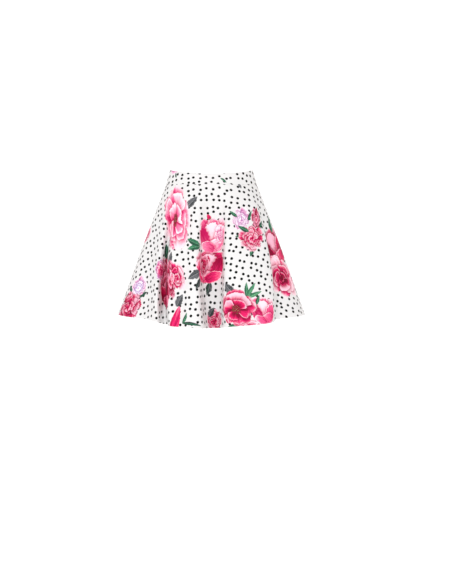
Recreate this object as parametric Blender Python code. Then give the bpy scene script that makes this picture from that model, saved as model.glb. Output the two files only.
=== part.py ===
"""A flared A-line skirt with a shaped waistband and a concealed back zip, in the form it has when worn.

Metres, +Z up. The front faces -Y and the wearer's left is at +X. The origin is the centre of the
waist opening, level with the waistband's top edge at the sides.

Every cloth piece is a thin closed wall. Its middle surface is worked out from a family of ovals that
widen from the waist to the hem, and from a table of the ridges and valleys that the hem falls into.
"""

import math

import bmesh
import bpy
import numpy as np

# Cloth walls and the clearance between neighbouring pieces
CLOTH = 0.0018
BAND_CLOTH = 0.0026
SEAM_GAP = 0.0003

# Ovals: half width, and half depth to the front and to the back
WAIST_OVAL = {"width": 0.1210, "front": 0.0930, "back": 0.0930}
SEAM_OVAL = {"width": 0.1335, "front": 0.1015, "back": 0.1020}
HEM_OVAL = {"width": 0.2740, "front": 0.1860, "back": 0.1860}

# Heights at the sides, at the centre front and at the centre back
WAIST_HEIGHT = {"side": 0.0, "front": -0.0188, "back": -0.0060}
SEAM_HEIGHT = {"side": -0.0435, "front": -0.0494, "back": -0.0465}
HEM_HEIGHT = {"side": -0.4245, "front": -0.4615, "back": -0.4470}
DIP_POWER = 1.3  # how squarely an edge dips from the sides to the centre

# Where the middle of each fold is stated, as a share of the way from the seam to the hem
MIDDLE = 0.40
BACK_GROWTH = 0.36  # share of its hem depth that a straight fold has at the middle

# Ridges and valleys all round, from the right side seam over the front to the left one and on over
# the back. A row gives a turn's corner at the hem and, where the fold doesn't run straight down from
# the waist, at the middle. The cloth rounds the corners off. In metres: x to the wearer's left, y to
# the back.
TURN_COLUMNS = ("turn", "hem_x", "hem_y", "middle_x", "middle_y")
FRONT_TURNS = [
    ("right side seam", -0.2765, -0.0040, -0.1925, -0.0020),
    ("right flare", -0.2600, -0.0680, -0.1820, -0.0480),
    ("soft valley", -0.2000, -0.0930, -0.1640, -0.0620),
    ("soft valley's far side", -0.1730, -0.1260, -0.1520, -0.0860),
    ("narrow ridge", -0.1500, -0.1760, -0.1370, -0.1180),
    ("groove, right", -0.1400, -0.1260, -0.1260, -0.0940),
    ("groove, left", -0.1210, -0.1240, -0.1180, -0.0950),
    ("groove's edge", -0.1190, -0.1800, -0.1150, -0.1290),
    ("slim ridge", -0.1040, -0.1860, -0.0990, -0.1400),
    ("crease", -0.0900, -0.1730, -0.0680, -0.1340),
    ("broad ridge", -0.0640, -0.1990, -0.0540, -0.1520),
    ("broad ridge's edge", -0.0150, -0.2060, -0.0310, -0.1540),
    ("recess, right", -0.0120, -0.1260, -0.0290, -0.1150),
    ("recess, left", 0.0360, -0.1300, 0.0400, -0.1150),
    ("widest ridge's edge", 0.0300, -0.2050, 0.0330, -0.1580),
    ("widest ridge", 0.0780, -0.2110, 0.0760, -0.1560),
    ("widest ridge, left", 0.1300, -0.1990, 0.1150, -0.1430),
    ("widest ridge's far edge", 0.1860, -0.1700, 0.1610, -0.1220),
    ("left groove", 0.1730, -0.1030, 0.1530, -0.0800),
    ("left flare's foot", 0.2100, -0.0960, 0.1720, -0.0700),
    ("left flare", 0.2600, -0.0700, 0.1870, -0.0420),
]
LEFT_BACK_TURNS = [
    ("left side seam", 0.2765, -0.0040, 0.1925, -0.0020),
    ("left side ridge", 0.2700, 0.0520, None, None),
    ("left side valley", 0.2040, 0.0700, None, None),
    ("left back ridge", 0.2220, 0.1420, None, None),
    ("left back valley", 0.1420, 0.1120, None, None),
    ("left inner ridge", 0.1340, 0.1960, None, None),
    ("left inner ridge's edge", 0.0820, 0.2050, None, None),
    ("left inner valley", 0.0560, 0.1330, None, None),
    ("centre ridge, left", 0.0260, 0.2020, None, None),
]
RIGHT_BACK_TURNS = [
    ("centre back seam", 0.0000, 0.2040, None, None),
    ("centre ridge, right", -0.0260, 0.2020, None, None),
    ("right inner valley", -0.0540, 0.1340, None, None),
    ("right inner ridge's edge", -0.0800, 0.2040, None, None),
    ("right inner ridge", -0.1300, 0.1970, None, None),
    ("right back valley", -0.1480, 0.1140, None, None),
    ("right back ridge", -0.2150, 0.1480, None, None),
    ("right side valley", -0.2080, 0.0730, None, None),
    ("right side ridge", -0.2720, 0.0480, None, None),
]

# Fineness of the walls
STEP_ROUND_HEM = 0.0125
SKIRT_RINGS = (0.0, 0.07, 0.16, 0.27, 0.40, 0.55, 0.70, 0.85, 1.0)
BAND_RINGS = (0.0, 0.5, 1.0)
SHARP_FROM = math.radians(40.0)  # edges that turn more than this are shaded as edges

# Concealed zip
ZIP_FOOT = 0.36  # share of the way from the seam to the hem where the tapes end
ZIP_RINGS = (-0.05, 0.05, 0.12, 0.20, 0.28, ZIP_FOOT)  # shares, negative on the band
ZIP_TOP_BELOW_EDGE = 0.004
BAND_SLIT = 0.0014  # between the band's two ends, where the slider's neck passes
TAPE_WIDTH = 0.0110
TAPE_CLOTH = 0.0007
TAPE_INNER_EDGE = 0.0009
COIL_WIDTH = 0.0040
COIL_THICKNESS = 0.0016
SLIDER_BELOW_EDGE = 0.0160
SLIDER_WIDTH = 0.0062
SLIDER_HEIGHT = 0.0095
SLIDER_THICKNESS = 0.0030
SLIDER_BEVEL = 0.0006
NECK_ROOT = 0.4  # share of the slider's thickness that its neck is let into
NECK_THICKNESS = 0.0008
NECK_HEIGHT = 0.0042
CROWN_EYE = 0.0011  # radius of the round eye that holds the pull's bar
CROWN_RIM = 0.0008
CROWN_PIECES = 6  # straight pieces in the crown's half round
PULL_LENGTH = 0.0200
PULL_WIDTH = 0.0050
PULL_HEAD_WIDTH = 0.0044
PULL_THICKNESS = 0.0010
PULL_WINDOW_WIDTH = 0.0022
PULL_WINDOW_HEIGHT = 0.0032
PULL_WINDOW_DROP = 0.0004  # the window's foot lies this much lower in its middle
PULL_ROUND_PIECES = 8  # straight pieces in the pull's round foot
PULL_STAND_OFF = 0.0016  # the pull's axis stands this far out of the band's face
SEARCH_POINTS = 40  # points between two turns when a place beside the centre back is looked up
SEARCH_ROUNDS = 4  # steps in which the band's angle at a place beside the centre back is found

# Colour, roughness and metallic value of each material
MATERIALS = {
    "print_cloth": ((0.93, 0.88, 0.88, 1.0), 0.72, 0.0),
    "zip_tape": ((0.92, 0.91, 0.90, 1.0), 0.80, 0.0),
    "zip_coil": ((0.90, 0.89, 0.88, 1.0), 0.35, 0.0),
    "zip_metal": ((0.82, 0.81, 0.79, 1.0), 0.30, 0.6),
}

FULL_TURN = 2.0 * math.pi


def clear_scene():
    """Removes whatever the scene holds."""
    for found in list(bpy.data.objects):
        bpy.data.objects.remove(found, do_unlink=True)


def material(slot):
    """Returns the plain material of a slot, made once."""
    made = bpy.data.materials.get(slot)
    if made:
        return made
    colour, roughness, metallic = MATERIALS[slot]
    made = bpy.data.materials.new(slot)
    made.use_nodes = True
    shader = made.node_tree.nodes["Principled BSDF"]
    shader.inputs["Base Color"].default_value = colour
    shader.inputs["Roughness"].default_value = roughness
    shader.inputs["Metallic"].default_value = metallic
    return made


def add_object(name, mesh, slot):
    """Puts a mesh in the scene as one named sub-part."""
    mesh.materials.append(material(slot))
    made = bpy.data.objects.new(name, mesh)
    bpy.context.scene.collection.objects.link(made)
    return made


# --- The cloth's middle surface ---------------------------------------------------------------


def height_round(heights, angle):
    """Height of an edge at an angle from the centre front, where it dips to the centre."""
    share = abs(math.cos(angle)) ** DIP_POWER
    centre = heights["front"] if math.cos(angle) > 0.0 else heights["back"]
    return heights["side"] + (centre - heights["side"]) * share


def oval_point(oval, heights, angle):
    """Point of an oval at an angle from the centre front, turning to the wearer's left."""
    depth = oval["front"] if math.cos(angle) > 0.0 else oval["back"]
    side = oval["width"] * math.sin(angle)
    return np.array([side, -depth * math.cos(angle), height_round(heights, angle)])


def plain_point(angle, share):
    """Point of the skirt without its folds, a share of the way from the seam to the hem."""
    top = oval_point(SEAM_OVAL, SEAM_HEIGHT, angle)
    foot = oval_point(HEM_OVAL, HEM_HEIGHT, angle)
    return top + (foot - top) * share


def read_turns():
    """Lists the turns as dictionaries, with each one's angle round the waist.

    The cloth hangs evenly from the seam, so a turn's share of a panel's width at the waist is its
    share of that panel's length along the hem.
    """
    panels = [
        (FRONT_TURNS, -0.5 * math.pi, 0.5 * math.pi),
        (LEFT_BACK_TURNS, 0.5 * math.pi, math.pi),
        (RIGHT_BACK_TURNS, math.pi, 1.5 * math.pi),
    ]
    every_row = FRONT_TURNS + LEFT_BACK_TURNS + RIGHT_BACK_TURNS
    turns = []
    for rows, first_angle, last_angle in panels:
        after = every_row[(every_row.index(rows[-1]) + 1) % len(every_row)]
        places = [(row[1], row[2]) for row in rows + [after]]
        lengths = [math.dist(a, b) for a, b in zip(places, places[1:])]
        travelled = 0.0
        for row, length in zip(rows, lengths):
            turn = dict(zip(TURN_COLUMNS, row))
            turn["angle"] = first_angle + (last_angle - first_angle) * travelled / sum(lengths)
            turn["length"] = length
            turns.append(turn)
            travelled += length
    return turns


def fold_offsets(turns):
    """How far each turn stands off the plain oval at the middle and at the hem."""
    at_middle, at_hem = [], []
    for turn in turns:
        off_hem = np.array([turn["hem_x"], turn["hem_y"]])
        off_hem = off_hem - plain_point(turn["angle"], 1.0)[:2]
        if turn["middle_x"] is None:
            off_middle = off_hem * BACK_GROWTH
        else:
            off_middle = np.array([turn["middle_x"], turn["middle_y"]])
            off_middle = off_middle - plain_point(turn["angle"], MIDDLE)[:2]
        at_middle.append(off_middle)
        at_hem.append(off_hem)
    return np.array(at_middle), np.array(at_hem)


def rounded(corners, turn, share):
    """Point of a closed smooth curve inside its corners, a share of the way past a turn."""
    weights = (
        (1.0 - share) ** 3,
        3.0 * share**3 - 6.0 * share**2 + 4.0,
        -3.0 * share**3 + 3.0 * share**2 + 3.0 * share + 1.0,
        share**3,
    )
    count = len(corners)
    return sum(w * corners[(turn + i - 1) % count] for i, w in enumerate(weights)) / 6.0


class Skirt:
    """The middle surface of the skirt: a point for each station round it and share down it."""

    def __init__(self):
        self.turns = read_turns()
        self.middle, self.hem = fold_offsets(self.turns)
        even = np.arange(len(self.turns)) * FULL_TURN / len(self.turns)
        self.unevenness = np.array([turn["angle"] for turn in self.turns]) - even

    def angle(self, turn, share):
        """Angle round the waist of a station."""
        even = (turn + share) * FULL_TURN / len(self.turns)
        return even + rounded(self.unevenness, turn, share)

    def point(self, station, down):
        """Point of the surface at a station, a share of the way from the seam to the hem."""
        turn, share = station
        grown_middle = down * (down - 1.0) / (MIDDLE * (MIDDLE - 1.0))
        grown_hem = down * (down - MIDDLE) / (1.0 - MIDDLE)
        off = rounded(self.middle, turn, share) * grown_middle
        off = off + rounded(self.hem, turn, share) * grown_hem
        place = plain_point(self.angle(turn, share), down)
        return place + np.array([off[0], off[1], 0.0])

    def stations(self, first, last):
        """Stations from one turn to another, evenly spaced along each fold."""
        found = []
        for turn in range(first, last):
            pieces = max(2, round(self.turns[turn]["length"] / STEP_ROUND_HEM))
            found += [(turn, piece / pieces) for piece in range(pieces)]
        found.append((last % len(self.turns), 0.0))
        return found


def band_point(angle, down):
    """Point of the waistband's middle surface, a share of the way from its top edge to the seam."""
    top = oval_point(WAIST_OVAL, WAIST_HEIGHT, angle)
    foot = oval_point(SEAM_OVAL, SEAM_HEIGHT, angle)
    return top + (foot - top) * down


# --- Walls ------------------------------------------------------------------------------------


def outward(points):
    """Unit normals of a grid of points whose rows run round the body and columns run down it."""
    round_way = np.gradient(points, axis=1)
    down_way = np.gradient(points, axis=0)
    normal = np.cross(down_way, round_way)
    return normal / np.linalg.norm(normal, axis=2, keepdims=True)


def pull_back(points, margins):
    """Moves the grid's four edges in by the margins: top, foot, first side and last side."""
    top, foot, first, last = margins
    moved = points.copy()

    def step_in(edge, inner, margin):
        way = inner - edge
        return edge + way / np.linalg.norm(way, axis=1, keepdims=True) * margin

    moved[0] = step_in(points[0], points[1], top)
    moved[-1] = step_in(points[-1], points[-2], foot)
    moved[:, 0] = step_in(moved[:, 0], moved[:, 1], first)
    moved[:, -1] = step_in(moved[:, -1], moved[:, -2], last)
    return moved


def wall_mesh(name, outer, inner):
    """Closes two grids of points, the outer and the inner face, into one thin solid."""
    rows, columns = outer.shape[:2]
    shape = bmesh.new()
    outer_verts = [[shape.verts.new(point) for point in row] for row in outer]
    inner_verts = [[shape.verts.new(point) for point in row] for row in inner]
    for i in range(rows - 1):
        for j in range(columns - 1):
            corners = ((i, j), (i + 1, j), (i + 1, j + 1), (i, j + 1))
            shape.faces.new([outer_verts[a][b] for a, b in corners])
            shape.faces.new([inner_verts[a][b] for a, b in reversed(corners)])
    rim = [(0, j) for j in range(columns - 1)]
    rim += [(i, columns - 1) for i in range(rows - 1)]
    rim += [(rows - 1, j) for j in range(columns - 1, 0, -1)]
    rim += [(i, 0) for i in range(rows - 1, 0, -1)]
    for (a, b), (c, d) in zip(rim, rim[1:] + rim[:1]):
        shape.faces.new((outer_verts[a][b], outer_verts[c][d], inner_verts[c][d], inner_verts[a][b]))
    bmesh.ops.recalc_face_normals(shape, faces=shape.faces)
    bmesh.ops.triangulate(shape, faces=shape.faces)
    mesh = bpy.data.meshes.new(name)
    shape.to_mesh(mesh)
    shape.free()
    mesh.shade_smooth()
    mesh.set_sharp_from_angle(angle=SHARP_FROM)
    return mesh


def add_wall(name, points, thickness, margins, slot):
    """Adds a wall on a middle surface. The points run one column past the panel on each side."""
    normals = outward(points)[:, 1:-1]
    middle = pull_back(points[:, 1:-1], margins)
    half = 0.5 * thickness
    mesh = wall_mesh(name, middle + normals * half, middle - normals * half)
    return add_object(name, mesh, slot)


def build_panels(skirt):
    """Adds the front and the two back panels of the skirt, and the waistband's pieces above them."""
    first_back = len(FRONT_TURNS)
    centre_back = first_back + len(LEFT_BACK_TURNS)
    last = centre_back + len(RIGHT_BACK_TURNS)
    half_gap = 0.5 * SEAM_GAP
    half_slit = 0.5 * BAND_SLIT
    rows = [
        ("front", 0, first_back, half_gap, half_gap),
        ("back_left", first_back, centre_back, half_gap, half_slit),
        ("back_right", centre_back, last, half_slit, half_gap),
    ]
    for name, start, end, first_margin, last_margin in rows:
        stations = skirt.stations(start, end)
        before = skirt.stations(start - 1 if start else last - 1, start if start else last)[-2]
        after = skirt.stations(end % last, end % last + 1)[1]
        stations = [before] + stations + [after]
        panel = np.array([[skirt.point(s, down) for s in stations] for down in SKIRT_RINGS])
        margins = (half_gap, 0.0, half_gap, half_gap)
        add_wall("skirt_" + name, panel, CLOTH, margins, "print_cloth")
        angles = [skirt.angle(*s) for s in stations]
        band = np.array([[band_point(angle, down) for angle in angles] for down in BAND_RINGS])
        margins = (0.0, half_gap, first_margin, last_margin)
        add_wall("waistband_" + name, band, BAND_CLOTH, margins, "print_cloth")


# --- Concealed zip ----------------------------------------------------------------------------


def back_point(skirt, down, side):
    """Point of the cloth beside the centre back; down is negative on the band, positive below it."""
    if down < 0.0:
        angle = math.pi
        for _ in range(SEARCH_ROUNDS):
            angle -= (side - band_point(angle, 1.0 + down)[0]) / WAIST_OVAL["width"]
        return band_point(angle, 1.0 + down)
    seam = len(FRONT_TURNS) + len(LEFT_BACK_TURNS)
    turn = seam - 1 if side > 0.0 else seam
    stations = [(turn, i / SEARCH_POINTS) for i in range(SEARCH_POINTS + 1)]
    points = np.array([skirt.point(station, down) for station in stations])
    order = np.argsort(points[:, 0])
    return np.array([np.interp(side, points[order, 0], points[order, axis]) for axis in range(3)])


def zip_strip(name, skirt, downs, sides, depths, slot):
    """Adds a strip on the inside of the centre back, between two depths below the cloth's middle."""
    grid = np.array([[back_point(skirt, down, side) for side in sides] for down in downs])
    normals = outward(grid)
    if normals[0, 0, 1] < 0.0:
        normals = -normals
    mesh = wall_mesh(name, grid - normals * depths[0], grid - normals * depths[1])
    add_object(name, mesh, slot)


def build_tapes(skirt):
    """Adds the two tapes just inside the cloth and the coil inside them."""
    band_height = WAIST_HEIGHT["back"] - SEAM_HEIGHT["back"]
    top = -1.0 + ZIP_TOP_BELOW_EDGE / band_height
    tape_face = 0.5 * BAND_CLOTH + SEAM_GAP
    tape_back = tape_face + TAPE_CLOTH
    tape_downs = [top, 0.5 * top, *ZIP_RINGS]
    near, far = TAPE_INNER_EDGE, TAPE_INNER_EDGE + TAPE_WIDTH
    sides = [near, 0.5 * (near + far), far]
    depths = (tape_face, tape_back)
    zip_strip("zip_tape_left", skirt, tape_downs, sides[::-1], depths, "zip_tape")
    zip_strip("zip_tape_right", skirt, tape_downs, [-side for side in sides], depths, "zip_tape")
    coil_face = tape_back + SEAM_GAP
    coil_top = -1.0 + (SLIDER_BELOW_EDGE + 0.5 * SLIDER_HEIGHT + 4.0 * SEAM_GAP) / band_height
    half = 0.5 * COIL_WIDTH
    depths = (coil_face, coil_face + COIL_THICKNESS)
    zip_strip("zip_coil", skirt, [coil_top, *ZIP_RINGS], [half, 0.0, -half], depths, "zip_coil")


def band_slope():
    """Angle from the vertical at which the band leans out at the centre back."""
    top, foot = band_point(math.pi, 0.0), band_point(math.pi, 1.0)
    return math.atan2(foot[1] - top[1], top[2] - foot[2])


def slider_centre():
    """Point of the band's middle surface that the slider's neck passes through."""
    drop = SLIDER_BELOW_EDGE / (WAIST_HEIGHT["back"] - SEAM_HEIGHT["back"])
    return band_point(math.pi, drop)


def arc(centre, radius, start, end, pieces):
    """Points of an arc in a plane, between two angles."""
    angles = [start + (end - start) * i / pieces for i in range(pieces + 1)]
    return [(centre[0] + radius * math.cos(a), centre[1] + radius * math.sin(a)) for a in angles]


def plate(name, outline, hole, thickness, place):
    """A flat plate with one hole. The outline and the hole have as many points as each other."""
    half = 0.5 * thickness
    shape = bmesh.new()
    loops = {}
    for label, points in (("outline", outline), ("hole", hole)):
        for side in (-half, half):
            loops[label, side] = [shape.verts.new(place(u, v, side)) for u, v in points]
    count = len(outline)
    for i in range(count):
        j = (i + 1) % count
        for side in (-half, half):
            ring = loops["outline", side], loops["hole", side]
            shape.faces.new((ring[0][i], ring[0][j], ring[1][j], ring[1][i]))
        for label in ("outline", "hole"):
            near, far = loops[label, -half], loops[label, half]
            shape.faces.new((near[i], near[j], far[j], far[i]))
    bmesh.ops.recalc_face_normals(shape, faces=shape.faces)
    mesh = bpy.data.meshes.new(name)
    shape.to_mesh(mesh)
    shape.free()
    return mesh


def slider_body_mesh():
    """Bevelled block of the slider, behind the tapes, in the frame of the slider's neck."""
    shape = bmesh.new()
    bmesh.ops.create_cube(shape, size=1.0)
    face = -(0.5 * BAND_CLOTH + SEAM_GAP + TAPE_CLOTH + SEAM_GAP)
    for vert in shape.verts:
        vert.co.x *= SLIDER_WIDTH
        vert.co.y = face - SLIDER_THICKNESS * (0.5 - vert.co.y)
        vert.co.z *= SLIDER_HEIGHT
    bmesh.ops.bevel(shape, geom=shape.edges[:], offset=SLIDER_BEVEL, segments=2, affect="EDGES")
    mesh = bpy.data.meshes.new("slider body")
    shape.to_mesh(mesh)
    shape.free()
    return mesh


def build_slider():
    """Adds the slider: its body behind the tapes, joined by a thin neck to the crown outside."""
    face = 0.5 * BAND_CLOTH
    eye = (face + PULL_STAND_OFF, 0.0)
    half_neck = 0.5 * NECK_HEIGHT
    rim = CROWN_EYE + CROWN_RIM
    root = -(face + 2.0 * SEAM_GAP + TAPE_CLOTH + NECK_ROOT * SLIDER_THICKNESS)
    nose = arc(eye, rim, -0.5 * math.pi, 0.5 * math.pi, CROWN_PIECES)
    back_rim = [(root, half_neck), (root, 0.0), (root, -half_neck)]
    outline = nose + back_rim
    hole = arc(eye, CROWN_EYE, -0.5 * math.pi, 0.5 * math.pi, CROWN_PIECES)
    hole += arc(eye, CROWN_EYE, 0.75 * math.pi, 1.25 * math.pi, 2)

    def place(out, up, side):
        return (side, out, up)

    neck = plate("slider neck", outline, hole, NECK_THICKNESS, place)
    slider = add_object("zip_slider", slider_body_mesh(), "zip_metal")
    cutter = bpy.data.objects.new("slider neck", neck)
    bpy.context.scene.collection.objects.link(cutter)
    union = slider.modifiers.new("neck", "BOOLEAN")
    union.operation = "UNION"
    union.object = cutter
    bpy.context.view_layer.update()
    graph = bpy.context.evaluated_depsgraph_get()
    joined = bpy.data.meshes.new_from_object(slider.evaluated_get(graph))
    slider.modifiers.remove(union)
    slider.data = joined
    bpy.data.objects.remove(cutter, do_unlink=True)
    slider.location = slider_centre()
    slider.rotation_euler.x = band_slope()
    return slider


def build_pull(slider):
    """Adds the pull tab: a drop-shaped plate whose top bar lies in the crown's eye."""
    pivot = bpy.data.objects.new("pull axis", None)
    bpy.context.scene.collection.objects.link(pivot)
    pivot.parent = slider
    pivot.location = (0.0, 0.5 * BAND_CLOTH + PULL_STAND_OFF, 0.0)
    bar = 0.5 * PULL_THICKNESS
    head = 0.5 * PULL_HEAD_WIDTH
    window = 0.5 * PULL_WINDOW_WIDTH
    window_foot = -bar - PULL_WINDOW_HEIGHT
    drop_radius = 0.5 * PULL_WIDTH
    drop_centre = (0.0, drop_radius - PULL_LENGTH)
    drop = arc(drop_centre, drop_radius, math.pi, 2.0 * math.pi, PULL_ROUND_PIECES)
    outline = [(head, bar), (-head, bar), (-head, window_foot)]
    outline += drop + [(head, window_foot)]
    hole = [(window, -bar), (-window, -bar), (-window, window_foot)]
    lowest = window_foot - PULL_WINDOW_DROP
    steps = PULL_ROUND_PIECES
    hole += [(window * (2.0 * i / steps - 1.0), lowest) for i in range(steps + 1)]
    hole += [(window, window_foot)]

    def place(side, up, out):
        return (side, out, up)

    pull = add_object("zip_pull", plate("zip_pull", outline, hole, PULL_THICKNESS, place), "zip_metal")
    pull.parent = pivot
    return pull


def main():
    clear_scene()
    skirt = Skirt()
    build_panels(skirt)
    build_tapes(skirt)
    slider = build_slider()
    build_pull(slider)


main()
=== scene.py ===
"""Looks of a flared A-line skirt in white sateen, printed with pink flowers and black dots."""

import math

import bpy
import numpy as np
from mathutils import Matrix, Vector


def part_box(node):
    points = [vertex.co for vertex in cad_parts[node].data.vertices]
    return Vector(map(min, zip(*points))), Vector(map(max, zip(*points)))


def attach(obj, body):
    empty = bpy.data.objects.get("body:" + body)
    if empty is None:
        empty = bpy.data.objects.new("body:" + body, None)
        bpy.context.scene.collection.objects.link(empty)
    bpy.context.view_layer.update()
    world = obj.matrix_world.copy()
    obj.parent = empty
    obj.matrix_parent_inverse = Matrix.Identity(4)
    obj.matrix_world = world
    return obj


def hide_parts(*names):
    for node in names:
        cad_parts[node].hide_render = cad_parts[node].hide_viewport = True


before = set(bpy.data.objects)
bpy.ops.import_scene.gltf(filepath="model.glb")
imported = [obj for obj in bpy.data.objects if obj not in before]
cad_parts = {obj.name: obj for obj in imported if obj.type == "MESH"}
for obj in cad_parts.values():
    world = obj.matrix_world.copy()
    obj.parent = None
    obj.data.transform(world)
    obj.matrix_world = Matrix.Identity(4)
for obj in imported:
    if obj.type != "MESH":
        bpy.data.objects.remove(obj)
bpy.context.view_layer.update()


# --- How the skirt hangs ----------------------------------------------------------------------
# A flared skirt cut from three panels. It widens evenly from the waist seam to the hem and falls
# into ridges and valleys. Each row is a turn of the cloth: its corner at the hem and, where the
# fold doesn't run straight down, part of the way down, in metres from the middle of the waist.

WAIST_OVAL = {"width": 0.1210, "front": 0.0930, "back": 0.0930}
SEAM_OVAL = {"width": 0.1335, "front": 0.1015, "back": 0.1020}
HEM_OVAL = {"width": 0.2740, "front": 0.1860, "back": 0.1860}
WAIST_HEIGHT = {"side": 0.0, "front": -0.0188, "back": -0.0060}
SEAM_HEIGHT = {"side": -0.0435, "front": -0.0494, "back": -0.0465}
HEM_HEIGHT = {"side": -0.4245, "front": -0.4615, "back": -0.4470}
DIP_POWER = 1.3  # how squarely an edge dips from the sides to the centre
MIDDLE = 0.40  # share of the way down where a bowed fold's middle is given
BACK_GROWTH = 0.36  # share of its hem depth that a straight fold has there
NEAR_EDGE = (0.0006, 0.0012, 0.0020, 0.0032)  # extra columns and rows of the cloth beside a seam
FINE_TURNS = 4000  # steps in which a panel's hem is measured

FRONT_TURNS = [
    # turn, its corner at the hem, its corner at the middle
    ("right side seam", -0.2765, -0.0040, -0.1925, -0.0020),
    ("right flare", -0.2600, -0.0680, -0.1820, -0.0480),
    ("soft valley", -0.2000, -0.0930, -0.1640, -0.0620),
    ("soft valley's far side", -0.1730, -0.1260, -0.1520, -0.0860),
    ("narrow ridge", -0.1500, -0.1760, -0.1370, -0.1180),
    ("groove, right", -0.1400, -0.1260, -0.1260, -0.0940),
    ("groove, left", -0.1210, -0.1240, -0.1180, -0.0950),
    ("groove's edge", -0.1190, -0.1800, -0.1150, -0.1290),
    ("slim ridge", -0.1040, -0.1860, -0.0990, -0.1400),
    ("crease", -0.0900, -0.1730, -0.0680, -0.1340),
    ("broad ridge", -0.0640, -0.1990, -0.0540, -0.1520),
    ("broad ridge's edge", -0.0150, -0.2060, -0.0310, -0.1540),
    ("recess, right", -0.0120, -0.1260, -0.0290, -0.1150),
    ("recess, left", 0.0360, -0.1300, 0.0400, -0.1150),
    ("widest ridge's edge", 0.0300, -0.2050, 0.0330, -0.1580),
    ("widest ridge", 0.0780, -0.2110, 0.0760, -0.1560),
    ("widest ridge, left", 0.1300, -0.1990, 0.1150, -0.1430),
    ("widest ridge's far edge", 0.1860, -0.1700, 0.1610, -0.1220),
    ("left groove", 0.1730, -0.1030, 0.1530, -0.0800),
    ("left flare's foot", 0.2100, -0.0960, 0.1720, -0.0700),
    ("left flare", 0.2600, -0.0700, 0.1870, -0.0420),
]
LEFT_BACK_TURNS = [
    ("left side seam", 0.2765, -0.0040, 0.1925, -0.0020),
    ("left side ridge", 0.2700, 0.0520),
    ("left side valley", 0.2040, 0.0700),
    ("left back ridge", 0.2220, 0.1420),
    ("left back valley", 0.1420, 0.1120),
    ("left inner ridge", 0.1340, 0.1960),
    ("left inner ridge's edge", 0.0820, 0.2050),
    ("left inner valley", 0.0560, 0.1330),
    ("centre ridge, left", 0.0260, 0.2020),
]
RIGHT_BACK_TURNS = [
    ("centre back seam", 0.0000, 0.2040),
    ("centre ridge, right", -0.0260, 0.2020),
    ("right inner valley", -0.0540, 0.1340),
    ("right inner ridge's edge", -0.0800, 0.2040),
    ("right inner ridge", -0.1300, 0.1970),
    ("right back valley", -0.1480, 0.1140),
    ("right back ridge", -0.2150, 0.1480),
    ("right side valley", -0.2080, 0.0730),
    ("right side ridge", -0.2720, 0.0480),
]


def oval_points(oval, heights, angles):
    """Points of an oval at angles from the centre front, turning to the wearer's left."""
    ahead = np.cos(angles) > 0.0
    depth = np.where(ahead, oval["front"], oval["back"])
    centre = np.where(ahead, heights["front"], heights["back"])
    height = heights["side"] + (centre - heights["side"]) * np.abs(np.cos(angles)) ** DIP_POWER
    return np.stack([oval["width"] * np.sin(angles), -depth * np.cos(angles), height], axis=-1)


def between(top, foot, downs):
    """Rows of points, each a share of the way from the top row to the foot row."""
    downs = np.asarray(downs, float)[:, None, None]
    return top + (foot - top) * downs


def plain_points(angles, downs):
    """Points of the skirt without its folds."""
    top = oval_points(SEAM_OVAL, SEAM_HEIGHT, angles)
    return between(top, oval_points(HEM_OVAL, HEM_HEIGHT, angles), downs)


def band_points(angles, downs):
    """Points of the waistband, from its top edge to the waist seam."""
    top = oval_points(WAIST_OVAL, WAIST_HEIGHT, angles)
    return between(top, oval_points(SEAM_OVAL, SEAM_HEIGHT, angles), downs)


def rounded(corners, turns):
    """Points of a closed smooth curve inside its corners, at numbered turns and between them."""
    before = np.floor(turns).astype(int)
    share = (turns - before)[:, None]
    weights = (
        (1.0 - share) ** 3,
        3.0 * share**3 - 6.0 * share**2 + 4.0,
        -3.0 * share**3 + 3.0 * share**2 + 3.0 * share + 1.0,
        share**3,
    )
    steps = zip(weights, (-1, 0, 1, 2))
    return sum(weight * corners[(before + step) % len(corners)] for weight, step in steps) / 6.0


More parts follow.
